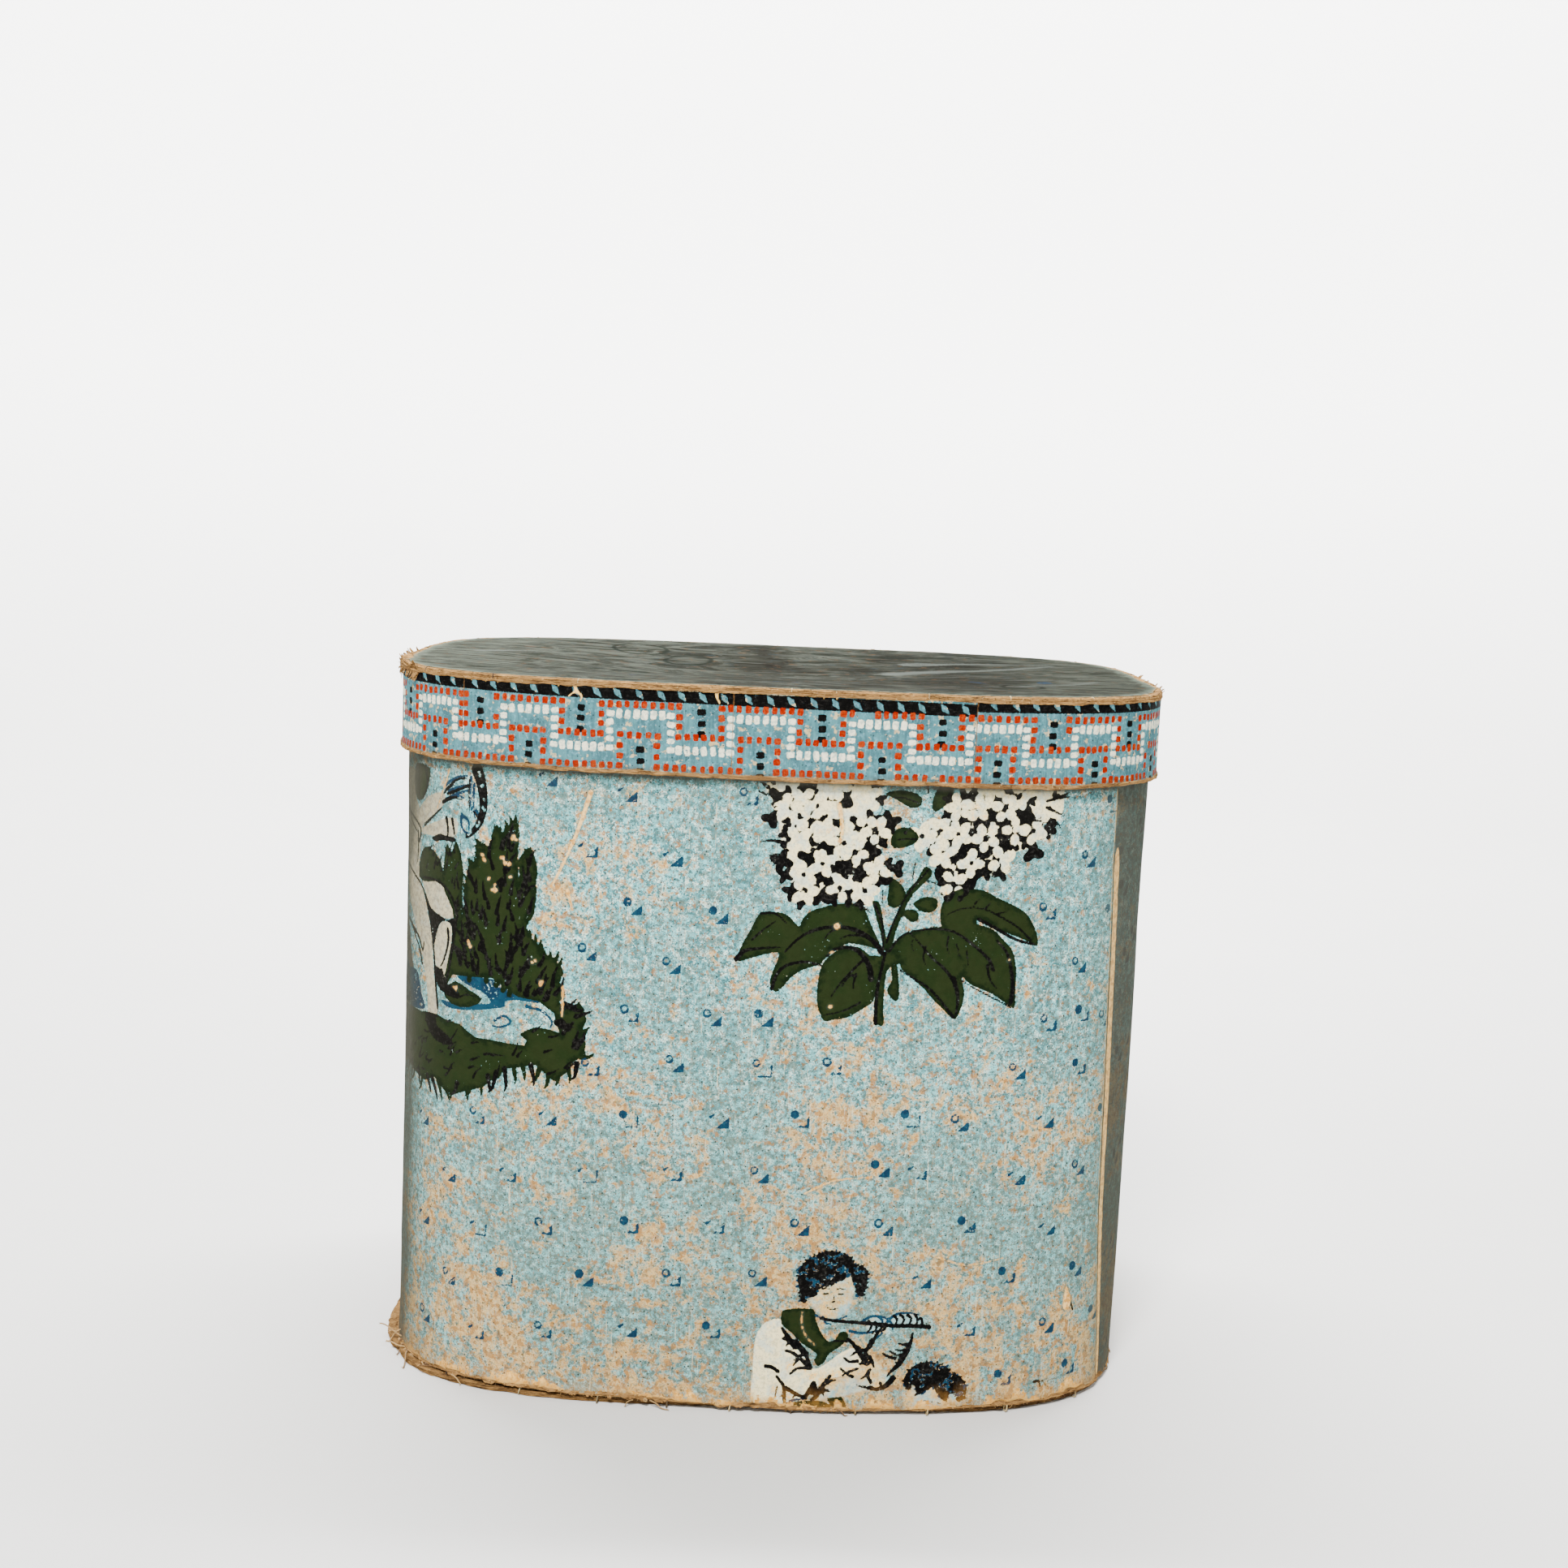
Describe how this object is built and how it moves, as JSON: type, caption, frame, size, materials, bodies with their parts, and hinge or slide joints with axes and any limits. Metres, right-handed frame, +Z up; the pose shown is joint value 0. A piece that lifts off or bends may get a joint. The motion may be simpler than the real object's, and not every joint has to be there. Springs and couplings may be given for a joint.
{
  "type": "hat box",
  "caption": "Oval pasteboard hat box with printed paper covers and a deep-rimmed lift-off lid.",
  "frame": {"origin": "centre of the closed box's outline on its underside, where the bottom board rests", "axes": "+X along the long side towards the right end, +Y towards the back, +Z up"},
  "size_m": [0.38, 0.28, 0.349],
  "materials": {
    "pasteboard": "matte",
    "lid_board": "matte",
    "thread": "matte",
    "cover_paper": "matte",
    "border_paper": "matte",
    "lid_paper": "matte",
    "lining_paper": "matte"
  },
  "bodies": {
    "box": {"body_wall": "pasteboard", "bottom_board": "pasteboard", "bottom_stitches": "thread", "wall_seam_stitches": "thread", "cover_paper_front": "cover_paper", "cover_paper_back": "cover_paper", "wall_lining": "lining_paper", "bottom_lining": "lining_paper"},
    "lid": {"lid_top_board": "lid_board", "lid_rim": "lid_board", "lid_edge_stitches": "thread", "lid_rim_seam_stitches": "thread", "lid_top_paper": "lid_paper", "border_strip_a": "border_paper", "border_strip_b": "border_paper", "border_strip_c": "border_paper", "border_strip_d": "border_paper", "border_strip_e": "border_paper", "border_strip_f": "border_paper", "lid_top_lining": "lining_paper", "lid_rim_lining": "lining_paper"}
  },
  "joints": [
    {"name": "lid_lift", "type": "slide", "parent": "box", "child": "lid", "axis": [0, 0, 1], "range_m": [0, 0.15]}
  ]
}
